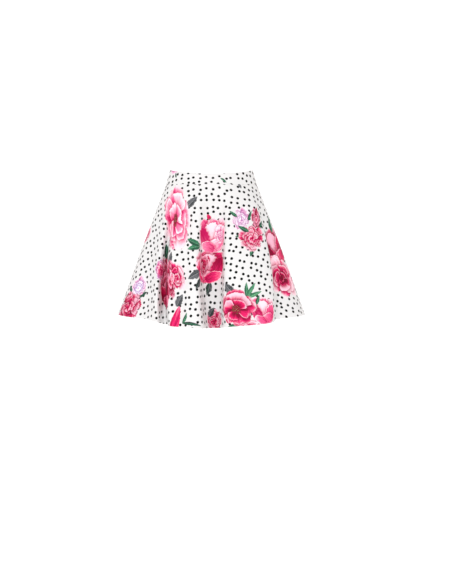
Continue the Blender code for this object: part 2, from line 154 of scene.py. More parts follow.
class Hang:
    """The surface that the cloth hangs in, found from the table of turns."""

    def __init__(self):
        panels = [
            (FRONT_TURNS, -0.5 * math.pi, 0.5 * math.pi),
            (LEFT_BACK_TURNS, 0.5 * math.pi, math.pi),
            (RIGHT_BACK_TURNS, math.pi, 1.5 * math.pi),
        ]
        every_row = FRONT_TURNS + LEFT_BACK_TURNS + RIGHT_BACK_TURNS
        self.count = len(every_row)
        angles = []
        for rows, first_angle, last_angle in panels:
            after_them = every_row[(every_row.index(rows[-1]) + 1) % self.count]
            places = [(row[1], row[2]) for row in rows + [after_them]]
            lengths = [math.dist(a, b) for a, b in zip(places, places[1:])]
            shares = np.cumsum([0.0] + lengths[:-1]) / sum(lengths)
            angles += list(first_angle + (last_angle - first_angle) * shares)
        angles = np.array(angles)
        even = np.arange(self.count) * 2.0 * math.pi / self.count
        self.unevenness = (angles - even)[:, None]
        hem = np.array([row[1:3] for row in every_row])
        self.off_hem = hem - plain_points(angles, [1.0])[0, :, :2]
        self.off_middle = self.off_hem * BACK_GROWTH
        at_middle = plain_points(angles, [MIDDLE])[0, :, :2]
        for i, (_, _, _, *middle) in enumerate(every_row):
            if middle:
                self.off_middle[i] = np.array(middle) - at_middle[i]

    def angles(self, turns):
        """Angle round the waist of each turn."""
        return turns * 2.0 * math.pi / self.count + rounded(self.unevenness, turns)[:, 0]

    def points(self, turns, downs):
        """Points at turns round the skirt, in rows at shares of the way from the seam to the hem."""
        downs = np.asarray(downs, float)
        middle_grown = (downs * (downs - 1.0) / (MIDDLE * (MIDDLE - 1.0)))[:, None, None]
        hem_grown = (downs * (downs - MIDDLE) / (1.0 - MIDDLE))[:, None, None]
        off = rounded(self.off_middle, turns) * middle_grown + rounded(self.off_hem, turns) * hem_grown
        places = plain_points(self.angles(turns), downs)
        places[:, :, :2] += off
        return places

    def even_turns(self, first, last, spacing):
        """Turns from one to another, evenly apart along the hem and closer together at both edges."""
        fine = np.linspace(first, last, FINE_TURNS)
        hem = self.points(fine, [1.0])[0]
        travelled = np.concatenate([[0.0], np.cumsum(np.linalg.norm(np.diff(hem, axis=0), axis=1))])
        length = travelled[-1]
        start, end = NEAR_EDGE[-1] + spacing, length - NEAR_EDGE[-1] - spacing
        inside = np.linspace(start, end, round((end - start) / spacing) + 1)
        edge = np.array(NEAR_EDGE)
        wanted = np.concatenate([[0.0], edge, inside, (length - edge)[::-1], [length]])
        return np.interp(wanted, travelled, fine)


hang = Hang()
FRONT_START, LEFT_BACK_START = 0, len(FRONT_TURNS)
CENTRE_BACK = LEFT_BACK_START + len(LEFT_BACK_TURNS)
ALL_TURNS = hang.count


# --- Cloth and its print ----------------------------------------------------------------------
# Smooth cotton sateen, white, printed on its face with scattered black dots and bunches of open
# pink and crimson flowers. The back of the cloth is plain white.


class Value:
    """A number at each point of a surface, worked out by nodes; sums and products add nodes."""

    def __init__(self, socket):
        self.socket = socket
        self.tree = socket.id_data

    def math(self, operation, *others):
        """What an operation makes of this value and the others."""
        node = add_node(self.tree, "ShaderNodeMath", operation=operation)
        for slot, given in zip(node.inputs, (self, *others)):
            feed(slot, given)
        return Value(node.outputs[0])

    def __add__(self, other):
        return self.math("ADD", other)

    def __sub__(self, other):
        return self.math("SUBTRACT", other)

    def __mul__(self, other):
        return self.math("MULTIPLY", other)

    def __truediv__(self, other):
        return self.math("DIVIDE", other)

    def __pow__(self, other):
        return self.math("POWER", other)

    def upside_down(self):
        """One less the value."""
        return self.math("MULTIPLY_ADD", -1.0, 1.0)

    def soft_step(self, low, high):
        """Goes smoothly from 0 at low to 1 at high."""
        node = add_node(self.tree, "ShaderNodeMapRange", interpolation_type="SMOOTHSTEP", clamp=False)
        return Value(set_up(node, Value=self, From_Min=low, From_Max=high).outputs["Result"])


def ink(hexes):
    """Linear colour of a colour given as red, green and blue in hex."""
    shares = [int(hexes[i : i + 2], 16) / 255.0 for i in (0, 2, 4)]
    linear = [s / 12.92 if s <= 0.04045 else ((s + 0.055) / 1.055) ** 2.4 for s in shares]
    return (*linear, 1.0)


def feed(slot, given):
    """Links or sets one input of a node. A node stands for its first output."""
    if isinstance(given, Value):
        given = given.socket
    elif isinstance(given, bpy.types.Node):
        given = given.outputs[0]
    if isinstance(given, bpy.types.NodeSocket):
        slot.id_data.links.new(given, slot)
    else:
        slot.default_value = ink(given) if slot.type == "RGBA" and isinstance(given, str) else given


def set_up(node, **given):
    """Sets up a node: its settings have small first letters, and its inputs have capitals."""
    for name, value in given.items():
        if name[0].islower():
            setattr(node, name, value)
        else:
            feed(node.inputs[name.replace("_", " ")], value)
    return node


def add_node(tree, kind, **given):
    """A new node of a tree, set up."""
    return set_up(tree.nodes.new(kind), **given)


def vector_of(*parts):
    """A vector from values, or from values and plain numbers."""
    tree = next(part.tree for part in parts if isinstance(part, Value))
    node = add_node(tree, "ShaderNodeCombineXYZ")
    for slot, part in zip(node.inputs, parts):
        feed(slot, part)
    return node.outputs[0]


def parts_of(vector):
    """The three values of a vector."""
    node = add_node(vector.id_data, "ShaderNodeSeparateXYZ", Vector=vector)
    return [Value(output) for output in node.outputs]


def grain(vector, scale, detail=2.0, roughness=0.5):
    """Soft random unevenness between 0 and 1."""
    node = add_node(vector.id_data, "ShaderNodeTexNoise", Vector=vector, Scale=scale)
    return Value(set_up(node, Detail=detail, Roughness=roughness).outputs["Fac"])


def from_spot(vector, scale, scatter=1.0):
    """Distance from the nearest spot of a scattered grid, as a share of the grid's spacing."""
    node = add_node(vector.id_data, "ShaderNodeTexVoronoi", voronoi_dimensions="2D", Vector=vector)
    return Value(set_up(node, Scale=scale, Randomness=scatter).outputs["Distance"])


def from_middle(x, y):
    """Distance from the middle of a motif."""
    return (x * x + y * y).math("SQRT")


def luck(value):
    """A different random number between 0 and 1 for each number."""
    return ((value * 12.9898 + 4.1414).math("SINE") * 43758.547).math("FRACT")


def blend(share, under, over):
    """Colour that goes from one to another with the share."""
    node = add_node(share.tree, "ShaderNodeMix", data_type="RGBA")
    for number, given in ((0, share), (6, under), (7, over)):
        feed(node.inputs[number], given)
    return node.outputs[2]


def after(colour, value):
    """The same value, worked out after the colour below it, so that few are held at a time."""
    grey = add_node(value.tree, "ShaderNodeRGBToBW", Color=colour)
    return value + Value(grey.outputs[0]) * 1e-6


def inks(value, hexes):
    """Colours spread evenly over a value from 0 to 1."""
    node = add_node(value.tree, "ShaderNodeValToRGB", Fac=value)
    stops = node.color_ramp.elements
    stops[1].position = 1.0
    while len(stops) < len(hexes):
        stops.new(0.5)
    for i, hexed in enumerate(hexes):
        stops[i].position = i / (len(hexes) - 1)
        stops[i].color = ink(hexed)
    return node.outputs["Color"]


PETAL_INKS = [
    # a petal's foot, its body and its rim; each from lilac through pink to dark crimson
    ("8659a4", "c8145e", "9e003c", "62001d", "2a000b"),
    ("e0b4d8", "f57aa6", "f02672", "cd044c", "8e0030"),
    ("f5eff8", "fbe4ec", "fbd5e1", "f7a6c0", "e4628a"),
]
SEED_APART = 3.7  # how far apart two flowers lie in their random draws
RING_APART = 5.3  # how far apart two rings of a flower lie in them
FRILL_APART = 31.0  # how far a ring's frill lies from its shape in them
TIP_POWER, TIP_DEPTH = 2.6, -0.22  # how a petal's tip is rounded
PETALS_VARY = 0.24  # how much longer or shorter than its ring a petal may be
OUT_OF_ROUND = 0.35
STREAKS_ROUND, STREAKS_OUT = 6.5, 2.0  # fine across a petal and long down it
RIM_SOFTNESS = 0.012
TUCKED_SIDE = (0.60, 1.0)  # where a petal goes under the next one
TURNED_SIDE = (0.24, 0.04)  # where it turns over and shows its pale back
PALE_RIM = (0.84, 0.98)
PALENESS = 0.44
SHADOW_FALL = -10.0
SHADED = 0.85  # how much of a petal's shadow falls on the petals below
HEART_FADE = -1.15  # how fast a flower's deeper heart gives way to its own tone
DEEPER_INSIDE = 0.30  # how much each ring further in is deepened where the heart is strong
OPEN_RINGS = [
    # reach, petals, ruffle, lean, shown where open
    (1.00, 5, 0.20, 0.00, True),
    (0.78, 4, 0.22, 0.05, True),
    (0.56, 4, 0.26, 0.12, True),
    (0.37, 3, 0.30, 0.18, False),
    (0.20, 3, 0.34, 0.20, False),
]
SMOOTH_FRILL = 4.6
RUFFLED_RINGS = [
    (1.00, 8, 0.46, 0.00, True),
    (0.80, 6, 0.50, 0.04, True),
    (0.62, 5, 0.54, 0.08, True),
    (0.44, 4, 0.58, 0.12, True),
    (0.27, 3, 0.60, 0.14, True),
]
FINE_FRILL = 9.0


def petal_inks(tone):
    """The inks of a petal's foot, body and rim at a tone."""
    return [inks(tone, hexes) for hexes in PETAL_INKS]


def petal_colour(pale, foot, body, rim):
    """Colour of a petal from its deep foot through its body to its pale rim."""
    return blend(pale.soft_step(0.42, 1.0), blend(pale.soft_step(-0.05, 0.50), foot, body), rim)


def petal_ring(place, reach, petals, ruffle, lean, key, frill_size):
    """One ring of overlapping petals, pale at their ruffled rims and deep at their feet.

    Gives the share that the ring covers, how pale it is and the shadow that it casts around it.
    """
    x, y, seed = place
    y = y + lean
    out = from_middle(x, y)
    around = y.math("ARCTAN2", x)
    mark = seed * SEED_APART + key
    east, north = around.math("COSINE"), around.math("SINE")
    slow = grain(vector_of(east, north, mark), 1.3, 1.0) - 0.5
    frill = grain(vector_of(east, north, mark + FRILL_APART), frill_size, 3.0, 0.62) - 0.5
    turn = around * (petals / (2.0 * math.pi)) + mark * 0.61 + slow * 1.3
    cell = turn.math("FLOOR")
    side = turn - cell
    across = (side - 0.5).math("ABSOLUTE") * 2.0
    own = luck(cell.math("FLOORED_MODULO", petals) + mark * 17.0) - 0.5
    other = luck(own * 31.0 + 2.0) - 0.5
    tip = (across**TIP_POWER * TIP_DEPTH) + 1.0
    edge = (tip + own * PETALS_VARY + frill * ruffle + slow * OUT_OF_ROUND) * reach
    cover = (out - edge).soft_step(RIM_SOFTNESS, -RIM_SOFTNESS)
    along = out / edge
    drawn_out = vector_of(east * STREAKS_ROUND, north * STREAKS_ROUND, out * STREAKS_OUT + mark)
    streak = grain(drawn_out, 1.6, 3.0, 0.6) - 0.5
    tucked = side.soft_step(*TUCKED_SIDE)
    turned_over = side.soft_step(*TURNED_SIDE)
    rim = along.soft_step(*PALE_RIM)
    fade = (along - 0.50) * (other * 1.5 + 0.75)
    pale = fade + streak * 0.70 + own * 0.55 - tucked * 0.70 + turned_over * 0.30 + rim * 0.24
    shadow = ((out - edge).math("MAXIMUM", 0.0) * SHADOW_FALL).math("EXPONENT") * cover.upside_down()
    return cover, pale + PALENESS, shadow


def ringed(under, place, look, rings, frill_size):
    """Rings of petals over a colour, from the outside in; the last ones go where it is open."""
    x, y, seed = place
    tone, opened, heart = look
    foot, body, rim = petal_inks(tone + heart * (from_middle(x, y) * HEART_FADE + 1.0))
    closed = opened.upside_down()
    colour = under
    for i, (reach, petals, ruffle, lean, stays) in enumerate(rings):
        held = (after(colour, x), y, seed)
        cover, pale, shadow = petal_ring(held, reach, petals, ruffle, lean, i * RING_APART, frill_size)
        if i == 0:
            covered = cover
        elif not stays:
            cover, shadow = cover * closed, shadow * closed
        colour = blend(shadow * covered * SHADED, colour, foot)
        pale = pale - heart * (DEEPER_INSIDE * i)
        colour = blend(cover * covered, colour, petal_colour(pale, foot, body, rim))
    return colour


STAMEN_INKS = ("efc4b2", "a8624c", "5e2a24", "7a1430", "a5103c")
STAMENS_BELOW = 0.10  # how far the tuft sits below the middle of the flower
TUFT_EDGE = (0.24, 0.17)
STAMENS_TO_FLOWER = 13.0  # to half the flower's width


def flower(under, place, look):
    """A whole flower of smooth petals over a colour, with stamens where it is open."""
    x, y, seed = place
    colour = ringed(under, place, look, OPEN_RINGS, SMOOTH_FRILL)
    wobble = grain(vector_of(x, y, seed), 7.0, 3.0) - 0.5
    out = from_middle(x, y + STAMENS_BELOW) + wobble * 0.34
    tuft = out.soft_step(*TUFT_EDGE) * look[1]
    stamens = from_spot(vector_of(x, y, seed), STAMENS_TO_FLOWER) * 1.25 + out * 0.9
    return blend(tuft, colour, inks(stamens, STAMEN_INKS))


def ruffled(under, place, look):
    """A full flower of many frilled petals over a colour."""
    return ringed(under, place, look, RUFFLED_RINGS, FINE_FRILL)


WRAPPED_PETALS = [
    # across, up, half length, half width, turned, slope, lightness
    (-0.44, 0.42, 0.56, 0.42, 130, 0.30, -0.12),
    (0.42, 0.44, 0.58, 0.44, 52, 0.45, 0.05),
    (0.02, 0.56, 0.46, 0.40, 90, 0.30, -0.02),
    (-0.04, 0.10, 0.66, 0.60, 95, 0.42, 0.34),
    (0.52, -0.10, 0.74, 0.42, 72, 0.30, -0.16),
    (-0.55, -0.16, 0.72, 0.38, 112, -0.35, -0.24),
    (0.24, -0.48, 0.60, 0.36, 28, -0.40, 0.16),
    (-0.26, -0.60, 0.52, 0.30, 160, 0.35, -0.02),
]
WRAPPED_RAGGED = 0.70  # how torn the rims are
WRAPPED_EDGE = (1.02, 0.98)
WRAPPED_RIM = (0.84, 0.96)
WRAPPED_PALENESS = 0.46
WRAPPED_SHADOW_FALL = -5.5
WRAPPED_SHADED = 0.9


def wrapped(under, place, look):
    """A half open flower over a colour: big petals with torn rims, wrapped round a ball."""
    x, y, seed = place
    tone, mirrored, heart = look
    x = after(under, x) * (mirrored * -2.0 + 1.0)
    frill = grain(vector_of(x, y, seed), 4.6, 4.0, 0.62) - 0.5
    foot, body, rim = petal_inks(tone)
    colour = under
    for i, (across, up, length, width, turned, slope, light) in enumerate(WRAPPED_PETALS):
        cosine, sine = math.cos(math.radians(turned)), math.sin(math.radians(turned))
        away_x, away_y = after(colour, x) - across, y - up
        along = away_x * (cosine / length) + away_y * (sine / length)
        over = away_y * (cosine / width) - away_x * (sine / width)
        out = from_middle(along, over) - frill * WRAPPED_RAGGED
        streak = grain(vector_of(along * 0.9, over * 3.6, seed + i * 7.1), 1.7, 3.0, 0.6) - 0.5
        cover = out.soft_step(*WRAPPED_EDGE)
        edge = out.soft_step(*WRAPPED_RIM)
        own = luck(seed + i * 3.3) - 0.5
        pale = along * slope + streak * 0.95 + edge * 0.42 + over * 0.16 + own * 0.3
        pale = pale + heart * light * 2.0 + (WRAPPED_PALENESS + light)
        shadow = ((out - 1.0).math("MAXIMUM", 0.0) * WRAPPED_SHADOW_FALL).math("EXPONENT")
        covered = cover if i == 0 else covered.math("MAXIMUM", cover)
        colour = blend(shadow * covered * cover.upside_down() * WRAPPED_SHADED, colour, foot)
        colour = blend(cover, colour, petal_colour(pale, foot, body, rim))
    return colour


LEAF_INKS = ("86b277", "3f8a62", "134a33", "262a2b", "606064")
LEAF_VEINS = ("cfe6bd", "94c2a2", "6a9a82", "77777a", "bdbdc2")
CUP_INK = "4c6b3c"
MIDRIB = (0.07, 0.01)
VEIN_WAVE = 24.0  # radians to half a leaf's length
VEIN_STRENGTH = 0.40
DARK_HALF = 0.16  # how much darker one half of a leaf is than the other
CUP_EDGE = (-0.52, -0.60)  # along the bud


def tapered(x, fullness, waist):
    """Half width of a shape that runs to a point at both ends, fuller towards its foot."""
    return ((x * x).upside_down().math("MAXIMUM", 0.0) ** fullness) * ((x * -0.30) + waist)


def inside(x, side, width, softness):
    """The share of a pointed shape that is covered, at a distance to the side of its midrib."""
    return (side - width).soft_step(softness, -softness) * x.math("ABSOLUTE").soft_step(1.0, 0.97)


def leaf(under, place, look):
    """A pointed leaf brushed out from its midrib, lying along its place's first axis."""
    x, y, seed = place
    tone, bend, notch = look
    x = after(under, x)
    y = y + bend * (x * x - 0.4)
    side = y.math("ABSOLUTE")
    brush = x - side * 0.55
    half = y.math("SIGN") * 3.0
    streak = grain(vector_of(brush * 5.0, side * 0.7 + half, seed), 1.5, 3.0, 0.65) - 0.5
    width = tapered(x, 0.85, 1.0) * (streak * (notch * 1.2 + 0.25) + 1.0)
    rib = side.soft_step(*MIDRIB)
    veins = (brush * VEIN_WAVE).math("SINE").soft_step(0.80, 1.0) * VEIN_STRENGTH
    dark_half = y.soft_step(-0.05, 0.05) * DARK_HALF
    body = inks(tone + streak * 0.95 + dark_half, LEAF_INKS)
    colour = blend(rib.math("MAXIMUM", veins), body, inks(tone, LEAF_VEINS))
    return blend(inside(x, side, width, 0.05), under, colour)


def bud(under, place, look):
    """A closed bud: streaked petals wrapped to a point, out of a green cup."""
    x, y, seed = place
    x = after(under, x)
    side = y.math("ABSOLUTE")
    rough = grain(vector_of(x, y, seed), 4.0, 2.0) - 0.5
    width = tapered(x, 0.6, 0.92) * (rough * 0.3 + 1.0)
    fold = ((y * 7.0) + (x * 2.2) + rough * 3.0).math("SINE") * 0.14 + 0.34
    streak = grain(vector_of(x * 1.2, y * 7.0, seed), 1.4, 3.0, 0.6) - 0.5
    colour = petal_colour(fold + streak * 0.9 + x * 0.15, *petal_inks(look[0]))
    cup = (x + side * 0.35 + rough * 0.25).soft_step(*CUP_EDGE)
    return blend(inside(x, side, width, 0.04), under, blend(cup, colour, CUP_INK))


def screen(draw):
    """A group that prints one kind of motif over a colour, at its place and with its look."""
    tree = bpy.data.node_groups.new(draw.__name__, "ShaderNodeTree")
    for name, kind in (("Under", "Color"), ("Place", "Vector"), ("Look", "Vector")):
        tree.interface.new_socket(name=name, in_out="INPUT", socket_type="NodeSocket" + kind)
    tree.interface.new_socket(name="Colour", in_out="OUTPUT", socket_type="NodeSocketColor")
    given = tree.nodes.new("NodeGroupInput").outputs
    colour = draw(given["Under"], parts_of(given["Place"]), parts_of(given["Look"]))
    add_node(tree, "NodeGroupOutput", Colour=colour)
    return tree


# Where the motifs lie on the cloth. x runs across a panel's cut from its centre line to the wearer's
# left and y up from the waist seam, in millimetres. The back panels are cut a metre to either side
# of the front one, and the waistband 600 mm above them. Turns are in degrees.
LOW_LEAVES = [
    # x, y, half length, half width, turned, tone, bend, notch, seed
    (-59, -50, 23, 10.5, 40, 0.86, 0.15, 0.6, 45),
    (-64, -184, 24, 8, 184, 0.34, -0.1, 0.4, 47),
    (-56, -286, 20, 9, 228, 0.72, 0.1, 0.6, 49),
    (0, -304, 20, 9, 258, 0.68, 0.1, 0.6, 51),
    (104, -144, 18, 6, 205, 0.44, 0.1, 0.4, 54),
    (146, -184, 15, 6, 262, 0.4, 0.1, 0.4, 56),
    (156, -100, 22, 6, 70, 0.5, 0.1, 0.4, 57),
    (250, -212, 35, 11, 112, 0.66, 0.1, 0.5, 59),
    (176, -302, 23, 5.5, 36, 0.22, 0.1, 0.2, 62),
    (150, -294, 21, 5.5, 100, 0.3, 0.1, 0.2, 63),
    (124, -402, 20, 7, 200, 0.44, 0.1, 0.4, 65),
    (-142, -204, 22, 8, 70, 0.84, 0.1, 0.6, 68),
    (-106, -380, 17, 5, 62, 0.34, -0.3, 0.2, 72),
    (-396, -278, 17, 7, 210, 0.54, 0.1, 0.5, 73),
    (-306, -262, 15, 6, 10, 0.56, 0.1, 0.5, 74),
    (1080, -206, 22, 9, 260, 0.42, 0.1, 0.4, 78),
    (880, -196, 25, 11, 160, 0.82, 0.1, 0.7, 80),
    (1050, -306, 22, 9, 20, 0.46, 0.1, 0.4, 82),
    (1000, -396, 25, 10, 210, 0.84, 0.1, 0.7, 84),
    (1186, -208, 22, 9, 60, 0.4, 0.1, 0.4, 86),
    (-1100, -140, 23, 9, 160, 0.42, 0.1, 0.4, 89),
    (-902, -186, 23, 9, 30, 0.4, 0.1, 0.4, 91),
    (-966, -300, 25, 9, 330, 0.38, 0.1, 0.4, 93),
    (-1120, -320, 25, 11, 150, 0.84, 0.1, 0.7, 95),
    (-1176, -300, 22, 8, 80, 0.42, 0.1, 0.4, 97),
]
RUFFLED_FLOWERS = [
    # x, y, half width, half height, turned, tone, opened, heart, seed
    (-118, -146, 34, 34, 20, 0.28, 0, 0.1, 1),
    (94, -95, 27, 33.75, 10, 0.1, 0, -0.06, 4),
    (137, -142, 39, 38.22, 0, 0.58, 0, -0.02, 5),
    (139, -82, 16, 35.2, 6, 0.82, 0, -0.1, 45),
    (20, -392, 27, 29.7, 0, 0.62, 0, 0.1, 10),
    (-212, -217, 26, 33.8, 0, 0.06, 0, 0.4, 11),
    (-186, -238, 30, 57, 0, 0.78, 0, 0.1, 12),
    (-146, -262, 20, 64, 4, 0.74, 0, 0.05, 13),
    (176, -400, 42, 25.2, 0, 0.4, 0, 0.1, 14),
    (-356, -277, 47, 49.35, -25, 0.68, 0, -0.05, 17),
    (-318, -232, 27, 31.05, -25, 0.12, 0, -0.25, 18),
    (1058, -76, 28, 30.8, 0, 0.06, 0, 0.15, 22),
    (888, -262, 30, 36, 0, 0.9, 0, 0, 24),
    (842, -330, 46, 43.7, 0, 0.66, 0, 0, 29),
    (1176, -356, 36, 37.8, 10, 0.58, 0, 0.1, 30),
    (-960, -138, 28, 32.2, 0, 0.06, 0, 0.2, 32),
    (-1132, -250, 50, 47.5, 10, 0.68, 0, 0, 36),
    (-876, -262, 28, 44.8, -10, 0.9, 0, 0, 37),
    (-1178, -350, 38, 39.9, -10, 0.46, 0, 0.2, 41),
    (1040, 560, 34, 34, 0, 0.5, 0, 0.1, 43),
]
WRAPPED_FLOWERS = [
    # x, y, half width, half height, turned, tone, mirrored, heart, seed
    (5, -154, 45, 53.1, 0, 0.31, 0, 0.22, 2),
    (-6, -243, 57, 50.16, 8, 0.55, 1, 0, 2),
    (256, -132, 54, 62.1, 40, 0.66, 0, 0.1, 6),
    (208, -346, 38, 39.9, 10, 0.4, 0, 0.15, 9),
    (-184, -295, 34, 54.4, 10, 0.86, 1, 0, 15),
    (1066, -152, 44, 48.4, -10, 0.36, 0, 0.1, 21),
    (1014, -262, 50, 46, 8, 0.62, 1, 0, 25),
    (942, -352, 42, 44.1, -8, 0.4, 0, 0.1, 28),
    (-1004, -92, 46, 51.52, 10, 0.56, 1, 0.05, 31),
    (-1010, -272, 46, 49.68, -8, 0.26, 0, 0.15, 35),
    (-1070, -362, 44, 41.8, 8, 0.6, 1, 0, 40),
]
LEAVES = [
    # x, y, half length, half width, turned, tone, bend, notch, seed
    (-66, -168, 23, 8.5, 150, 0.4, 0.15, 0.4, 46),
    (-70, -262, 23, 11, 205, 0.86, 0.1, 0.8, 48),
    (117, -80, 18, 4, 80, 0.42, 0.1, 0.3, 52),
    (106, -124, 19, 6, 165, 0.4, 0.2, 0.4, 53),
    (68, -86, 15, 4.5, 150, 0.36, 0.2, 0.4, 55),
    (222, -66, 25, 10, 118, 0.36, 0.1, 0.3, 58),
    (100, -299, 19, 11, 140, 0.84, 0.1, 0.8, 60),
    (163, -292, 25, 5.5, 68, 0.26, 0.1, 0.2, 61),
    (186, -316, 15, 5, 80, 0.36, 0.1, 0.4, 64),
    (10, -370, 15, 9, 60, 0.76, 0.1, 0.6, 66),
    (-178, -172, 25, 10, 88, 0.5, 0.1, 0.4, 67),
    (-122, -328, 19, 10, 60, 0.84, 0.1, 0.8, 69),
    (-86, -398, 31, 4.5, -12, 0.52, 0.5, 0.2, 71),
    (-348, -222, 15, 5, 110, 0.46, 0.1, 0.5, 75),
    (1016, -140, 25, 10, 215, 0.38, 0.1, 0.4, 76),
    (940, -60, 21, 11, 150, 0.84, 0.1, 0.7, 77),
    (968, -286, 25, 9, 200, 0.36, 0.1, 0.4, 81),
    (1096, -312, 25, 10, 60, 0.4, 0.1, 0.3, 83),
    (892, -372, 22, 9, 190, 0.44, 0.1, 0.4, 85),
    (-1040, -56, 23, 10, 130, 0.84, 0.1, 0.7, 87),
    (-994, -150, 25, 9, 280, 0.38, 0.1, 0.4, 88),
    (-1060, -240, 22, 10, 200, 0.82, 0.1, 0.7, 92),
    (-994, -340, 22, 9, 130, 0.44, 0.1, 0.4, 94),
    (-880, -370, 23, 9, -20, 0.4, 0.1, 0.4, 96),
    (-112, 604, 9, 3, 100, 0.5, 0.2, 0.5, 98),
    (36, 577, 12, 3.5, -42, 0.4, 0.3, 0.6, 99),
    (84, 6, 8, 4.5, -60, 0.92, 0.2, 0.7, 100),
    (1000, 590, 17, 7, 160, 0.44, 0.2, 0.5, 101),
    (-990, 596, 17, 7, 30, 0.4, 0.2, 0.5, 102),
]
FLOWERS = [
    # x, y, half width, half height, turned, tone, opened, heart, seed
    (-117, -80, 50, 97, 0, 0.28, 1, 0.1, 10),
    (26, -146, 17, 27.2, 8, 0.2, 0, -0.05, 46),
    (-18, -236, 21, 35.7, -8, 0.68, 0, 0.05, 47),
    (306, -206, 60, 56.4, -50, 0.46, 0, 0.3, 7),
    (127, -349, 64, 56.32, 8, 0.48, 1, 0.28, 9),
    (-126, -258, 22, 41.8, 8, 0.5, 0, 0.1, 16),
    (-272, -66, 33, 33, 0, 0.52, 0, 0.1, 19),
    (978, -82, 46, 57.5, 12, 0.28, 1, 0.1, 20),
    (930, -212, 52, 49.4, 20, 0.56, 0, 0.15, 23),
    (1140, -258, 50, 50, -16, 0.48, 1, 0.15, 26),
    (1052, -362, 58, 51.04, -8, 0.52, 1, 0.15, 27),
    (-1056, -166, 44, 57.2, -14, 0.3, 1, 0.12, 33),
    (-948, -198, 46, 44.16, 12, 0.54, 0, 0.2, 34),
    (-846, -316, 50, 47.5, 16, 0.5, 0, 0.2, 38),
    (-948, -366, 58, 49.88, 6, 0.54, 1, 0.15, 39),
    (-120, 648, 39, 39, 0, 0.14, 0, -0.05, 42),
    (-1046, 640, 30, 30, 0, 0.3, 0, 0.1, 44),
]
BUDS = [
    # the same; a bud has no bend and no notches
    (-8, -98, 9, 6.5, 120, 0.66, 0, 0, 50),
    (-137, -388, 46, 14.5, 72, 0.58, 0, 0, 70),
    (1090, -86, 28, 11, 70, 0.8, 0, 0, 79),
    (-936, -118, 28, 11, 66, 0.8, 0, 0, 90),
]
leaf_screen = screen(leaf)
PRINT_LAYERS = [
    # printed from the bottom up: each layer's name, what it prints and where
    ("low_leaf", leaf_screen, LOW_LEAVES),
    ("ruffled", screen(ruffled), RUFFLED_FLOWERS),
    ("wrapped", screen(wrapped), WRAPPED_FLOWERS),
    ("leaf", leaf_screen, LEAVES),
    ("flower", screen(flower), FLOWERS),
    ("bud", screen(bud), BUDS),
]
MILLIMETRE = 0.001
DOT_SPACING = 0.0182
DOT_RADIUS = 0.0040
DOT_SCATTER = 0.48  # how far the dots stray from a plain grid
DOT_BLUR = 0.06
DOT_RAGGEDNESS = 0.10
CLOTH_INK = "dddbdb"
DOT_INK = "0d0b0c"


def own_vector(tree, name):
    """The vector that a piece's mesh holds under a name."""
    return add_node(tree, "ShaderNodeAttribute", attribute_name=name).outputs["Vector"]


def cloth_map(tree):
    """The flat cut's own coordinates, in metres."""
    return add_node(tree, "ShaderNodeUVMap", uv_map="cut").outputs["UV"]


def printed_colour(tree):
    """Colour of the cloth's face: white ground, dots, then each layer of flowers and leaves."""
    flat = cloth_map(tree)
    ragged = grain(flat, 260.0) - 0.5
    away = from_spot(flat, 1.0 / DOT_SPACING, DOT_SCATTER) + ragged * DOT_RAGGEDNESS
    radius = DOT_RADIUS / DOT_SPACING
    dot = away.soft_step(radius * (1.0 + DOT_BLUR), radius * (1.0 - DOT_BLUR))
    colour = blend(dot, CLOTH_INK, DOT_INK)
    for name, motif, _ in PRINT_LAYERS:
        node = add_node(tree, "ShaderNodeGroup", node_tree=motif, Under=colour)
        set_up(node, Place=own_vector(tree, name + "_place"), Look=own_vector(tree, name + "_look"))
        colour = node.outputs["Colour"]
    return colour


def new_finish(name, **given):
    """A material, and its shader set up."""
    made = bpy.data.materials.new(name)
    made.use_nodes = True
    return made, set_up(made.node_tree.nodes["Principled BSDF"], **given)


def raise_surface(shader, height, strength, distance):
    """Lets the light show a fine relief."""
    bump = add_node(shader.id_data, "ShaderNodeBump", Strength=strength, Distance=distance)
    set_up(bump, Height=height)
    set_up(shader, Normal=bump.outputs[0])


WARP, WEFT = 9000.0, 5200.0  # waves of the weave, in radians to a metre


def sateen(name):
    """A matt cloth with a fine weave along the cut's own threads, still without its colour."""
    made, shader = new_finish(name, Roughness=0.62, Specular_IOR_Level=0.12)
    flat = cloth_map(made.node_tree)
    x, y, _ = parts_of(flat)
    threads = (x * WARP).math("SINE") * 0.3 + (y * WEFT).math("SINE") * 0.7
    raise_surface(shader, threads + grain(flat, 420.0, 3.0), 0.12, 0.0002)
    return made, shader


printed_cloth, printed_shader = sateen("printed sateen")
set_up(printed_shader, Base_Color=printed_colour(printed_cloth.node_tree))
cloth_back, back_shader = sateen("back of the sateen")
set_up(back_shader, Base_Color="f4f0ee")

MOTIF_REACH = 1.6  # how far a motif may spread, in half widths
NOWHERE = 9.0


